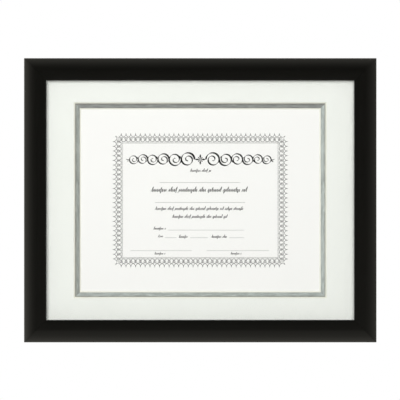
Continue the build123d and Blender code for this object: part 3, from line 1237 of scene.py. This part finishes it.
class FRAME_OT_pen_work(bpy.types.Operator):
    """Draw the ornament, the waved lines and the rules on the sheet"""

    bl_idname = "certificate_frame.pen_work"
    bl_label = "Pen Work"
    bl_options = {"REGISTER", "UNDO"}

    def execute(self, context):
        settings = context.scene.certificate_frame.sheet
        tree = pen_work_tree(ink_lines_tree())
        ink = surface("printing_ink", printing_ink, settings)
        rule_width = settings.rule_width / mm
        ruled = [stroke([(x - length / 2, y), (x + length / 2, y)], rule_width)
                 for x, y, length in rules]
        waved = [wave for line in waved_lines for wave in waves(*line)]
        drawings = {
            "certificate_ornament": (running_scroll(settings.nib), settings.hairline_share),
            "certificate_rosette": (rosette(), 1.0),
            "certificate_waves": (waved, wave_hairline),
            "certificate_rules": (ruled, 1.0),
        }
        for name, (strokes, hairline_share) in drawings.items():
            inputs = {
                "Thickness": settings.ink_thickness,
                "Nib Angle": settings.nib_angle,
                "Hairline Share": hairline_share,
                "Ink": ink,
            }
            drawing = grow(name, line_mesh(name, strokes), tree, inputs, sheet_placement())
            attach(drawing, frame_body)
        return {"FINISHED"}


# Back


class FRAME_OT_boards(bpy.types.Operator):
    """Finish the filler board and the backing board"""

    bl_idname = "certificate_frame.boards"
    bl_label = "Boards"
    bl_options = {"REGISTER", "UNDO"}

    def execute(self, context):
        settings = context.scene.certificate_frame.back
        card = surface("filler_card", paper, settings.filler, *card_tooth)
        finish(["filler_board"], card)
        finish(["backing_board"], surface("brown_hardboard", hardboard, settings))
        return {"FINISHED"}


class FRAME_OT_hardware(bpy.types.Operator):
    """Finish the turn buttons, screws, hangers, nails and corner V-nails"""

    bl_idname = "certificate_frame.hardware"
    bl_label = "Hardware"
    bl_options = {"REGISTER", "UNDO"}

    def execute(self, context):
        steel = surface("zinc_steel", zinc_plate, context.scene.certificate_frame.back)
        starts = ("turn_button", "hanger", "corner_v_nails")
        finish([name for name in nodes if name.startswith(starts)], steel)
        return {"FINISHED"}


class FRAME_OT_bumpers(bpy.types.Operator):
    """Finish the soft pads at the lower corners"""

    bl_idname = "certificate_frame.bumpers"
    bl_label = "Bumpers"
    bl_options = {"REGISTER", "UNDO"}

    def execute(self, context):
        rubber = surface("bumper_rubber", soft_rubber, context.scene.certificate_frame.back)
        finish(["wall_bumpers"], rubber)
        return {"FINISHED"}


# Stage


# The floor turns white to the eye between these distances from the frame, in metres. Nearer, it
# keeps this share of white. Its own grey goes from the first tone to the second.
floor_fade = (0.6, 3.5)
floor_white = 0.5
floor_tones = (0.86, 0.9)


def seen_directly(path):
    """1 for rays from the camera, also through glass, and 0 for others."""
    return math("MAXIMUM", path["Is Camera Ray"], path["Is Transmission Ray"])


def studio_floor(tree):
    """A pale floor that keeps shadows near the frame and fades to plain white far away."""
    place = result(tree, "ShaderNodeTexCoord", output="Object")
    far = fade(vector_math("LENGTH", place, output="Value"), *floor_fade, floor_white, 1.0)
    path = results(tree, "ShaderNodeLightPath")
    seen = math("MAXIMUM", seen_directly(path), path["Is Glossy Ray"])
    grey = shades(noise(place, scale=3, detail=4), (1, 1, 1), *floor_tones)
    pale = result(tree, "ShaderNodeBsdfDiffuse", {"Color": grey})
    white = result(tree, "ShaderNodeEmission", {"Color": (1, 1, 1, 1), "Strength": 1.0})
    return result(tree, "ShaderNodeMixShader", {0: far * seen, 1: pale, 2: white})


# What gloss mirrors, by the share of the turn from straight in front to straight behind.
room_levels = (
    (0.0, 0.0), (0.02, 0.02), (0.06, 0.06), (0.09, 0.1), (0.13, 0.14), (0.175, 0.18),
    (0.23, 0.25), (0.28, 0.31), (0.345, 0.41), (0.56, 0.41), (0.78, 0.95), (1.0, 0.8),
)
room_colour = (1, 0.97, 0.86, 1)
# Change of the room's level from its middle to its right.
room_slant = -0.33
# The heights over which the room's table comes up, its level, and how that changes with height.
table_edges = (0.01, -0.24)
table_level = 0.33
table_slope = 0.55


def studio_world(settings):
    """White to the camera, an even light on surfaces, and a room for gloss to mirror.

    The room is white behind the frame, grey at its sides and dark in front of it. It is a little
    brighter to the left than to the right, and its table is pale.
    """
    world = bpy.data.worlds.new("studio")
    world.use_nodes = True
    world.cycles.sampling_method = "NONE"
    tree = world.node_tree
    tree.nodes.clear()
    x, y, z = separate(result(tree, "ShaderNodeTexCoord", output="Generated"))
    ramp = add(tree, "ShaderNodeValToRGB", {"Fac": math("MULTIPLY_ADD", y, 0.5, 0.5)})
    elements = ramp.color_ramp.elements
    while len(elements) < len(room_levels):
        elements.new(0.5)
    for element, (place, grey) in zip(elements, room_levels):
        element.position = place
        element.color = (grey, grey, grey, 1)
    walls = Value(ramp.outputs[0]) * math("MULTIPLY_ADD", x, room_slant, 1.0)
    table = fade(z, *table_edges, 0.0, table_level)
    near = math("MULTIPLY_ADD", z, table_slope, 1.0)
    level = math("MINIMUM", math("MULTIPLY_ADD", table, near, walls), 1.0)
    room = result(tree, "ShaderNodeBackground", {"Color": room_colour, "Strength": level})
    path = results(tree, "ShaderNodeLightPath")
    light = math("MAXIMUM", seen_directly(path), settings.ambient)
    plain = result(tree, "ShaderNodeBackground", {"Color": (1, 1, 1, 1), "Strength": light})
    mixed = result(tree, "ShaderNodeMixShader", {0: path["Is Glossy Ray"], 1: plain, 2: room})
    add(tree, "ShaderNodeOutputWorld", {"Surface": mixed})
    return world


# Lamps: place from the frame's middle in metres, side of the square lamp, and watts.
lamps = {
    "key_left": ((-0.4, -1.3, 0.34), 0.45, 10.6),
    "fill_right": ((0.36, -1.4, 0.14), 0.45, 7.2),
    "back_left": ((-1.2, 1.9, 0.9), 0.8, 20),
    "back_right": ((1.2, 1.9, 0.6), 0.8, 16),
}


class FRAME_OT_stage(bpy.types.Operator):
    """Set the floor, the lamps, the room and the camera"""

    bl_idname = "certificate_frame.stage"
    bl_label = "Stage"
    bl_options = {"REGISTER", "UNDO"}

    def execute(self, context):
        scene = context.scene
        settings = scene.certificate_frame.stage
        scene.view_settings.view_transform = "Standard"

        half = settings.floor_size / 2
        corners = [(-half, -half, 0), (half, -half, 0), (half, half, 0), (-half, half, 0)]
        mesh = bpy.data.meshes.new("floor")
        mesh.from_pydata(corners, [], [(0, 1, 2, 3)])
        mesh.materials.append(new_material("studio_floor", studio_floor))
        floor = put("floor", mesh)
        floor.location = (middle.x, middle.y, middle.z - settings.floor_drop)
        floor.visible_glossy = False

        for name, (place, size, watts) in lamps.items():
            light = bpy.data.lights.new(name, "AREA")
            light.size = size
            light.energy = watts
            lamp = put(name, light)
            lamp.location = middle + Vector(place)
            lamp.rotation_euler = (-Vector(place)).to_track_quat("-Z", "Y").to_euler()
            lamp.visible_glossy = False
            lamp.visible_camera = False

        scene.world = studio_world(settings)

        lens = bpy.data.cameras.new("camera")
        lens.lens = lens.sensor_width * settings.view_distance / settings.view_width
        camera = put("camera", lens)
        camera.location = middle + Vector(settings.view_offset)
        camera.location.y = glass_low.y - settings.view_distance
        camera.rotation_euler = (pi / 2, 0, 0)
        scene.camera = camera
        return {"FINISHED"}


operators = (
    FRAME_OT_moulding, FRAME_OT_glass, FRAME_OT_mats, FRAME_OT_sheet, FRAME_OT_border,
    FRAME_OT_pen_work, FRAME_OT_boards, FRAME_OT_hardware, FRAME_OT_bumpers, FRAME_OT_stage,
)


class FRAME_PT_panel(bpy.types.Panel):
    """Lists the steps that make the frame, and their sizes and colours"""

    bl_label = "Certificate Frame"
    bl_idname = "FRAME_PT_panel"
    bl_space_type = "VIEW_3D"
    bl_region_type = "UI"
    bl_category = "Frame"

    def draw(self, context):
        settings = context.scene.certificate_frame
        for operator in operators:
            self.layout.operator(operator.bl_idname)
        for group in ("moulding", "mats", "sheet", "back", "stage"):
            box = self.layout.box()
            values = getattr(settings, group)
            for name in values.__annotations__:
                box.prop(values, name)


classes = (
    MouldingSettings, MatSettings, SheetSettings, BackSettings, StageSettings, FrameSettings,
    *operators, FRAME_PT_panel,
)


def register():
    for each in classes:
        bpy.utils.register_class(each)
    bpy.types.Scene.certificate_frame = PointerProperty(type=FrameSettings)


def unregister():
    del bpy.types.Scene.certificate_frame
    for each in reversed(classes):
        bpy.utils.unregister_class(each)


def main():
    register()
    for operator in operators:
        group, name = operator.bl_idname.split(".")
        getattr(getattr(bpy.ops, group), name)()


if __name__ == "__main__":
    main()
